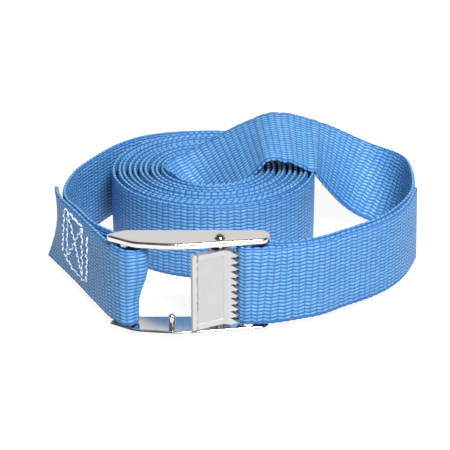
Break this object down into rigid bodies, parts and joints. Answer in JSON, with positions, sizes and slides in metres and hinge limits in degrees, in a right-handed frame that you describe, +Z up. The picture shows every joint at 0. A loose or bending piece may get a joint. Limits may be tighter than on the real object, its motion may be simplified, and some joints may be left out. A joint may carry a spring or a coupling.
{
  "type": "cam buckle lashing strap",
  "caption": "Coiled flat lashing strap with a sewn-on cam buckle: a spring-loaded toothed lever grips the webbing against a bar between two cheeks.",
  "frame": {"origin": "on the ground, under the middle of the object's box", "axes": "+Z up, +X along the longest side towards the strap's free tail, -Y towards the side that the buckle lies on"},
  "size_m": [0.1176, 0.1106, 0.0386],
  "materials": {
    "webbing": "woven polyester webbing, slightly glossy",
    "thread": "white polyester sewing thread",
    "zinc_plate": "bright zinc plated steel",
    "rivet_steel": "polished rivet head",
    "cast_zinc": "cast and zinc plated, satin",
    "spring_steel": "spring wire"
  },
  "bodies": {
    "strap_and_frame": {"strap_sewn_end": "webbing", "strap_crossbar_loop": "webbing", "strap_lead": "webbing", "strap_coil": "webbing", "strap_inner_turn": "webbing", "strap_crossover": "webbing", "strap_load_run": "webbing", "strap_anvil_wrap": "webbing", "strap_tail": "webbing", "stitching": "thread", "cheek_lower": "zinc_plate", "cheek_upper": "zinc_plate", "crossbar": "zinc_plate", "anvil_bar": "zinc_plate", "guide_stud": "zinc_plate", "axle": "zinc_plate", "rivet_head_lower": "rivet_steel", "rivet_head_upper": "rivet_steel", "torsion_spring": "spring_steel"},
    "lever": {"cam_lever": "cast_zinc"}
  },
  "joints": [
    {"name": "cam_pivot", "type": "hinge", "parent": "strap_and_frame", "child": "lever", "pos_m": [-0.0042, -0.0484, 0.0162], "axis": [0, 0, 1], "range_deg": [-42, 0], "stiffness_Nm_per_rad": 0.02, "springref_deg": 28.65, "deforming": ["torsion_spring"]}
  ]
}
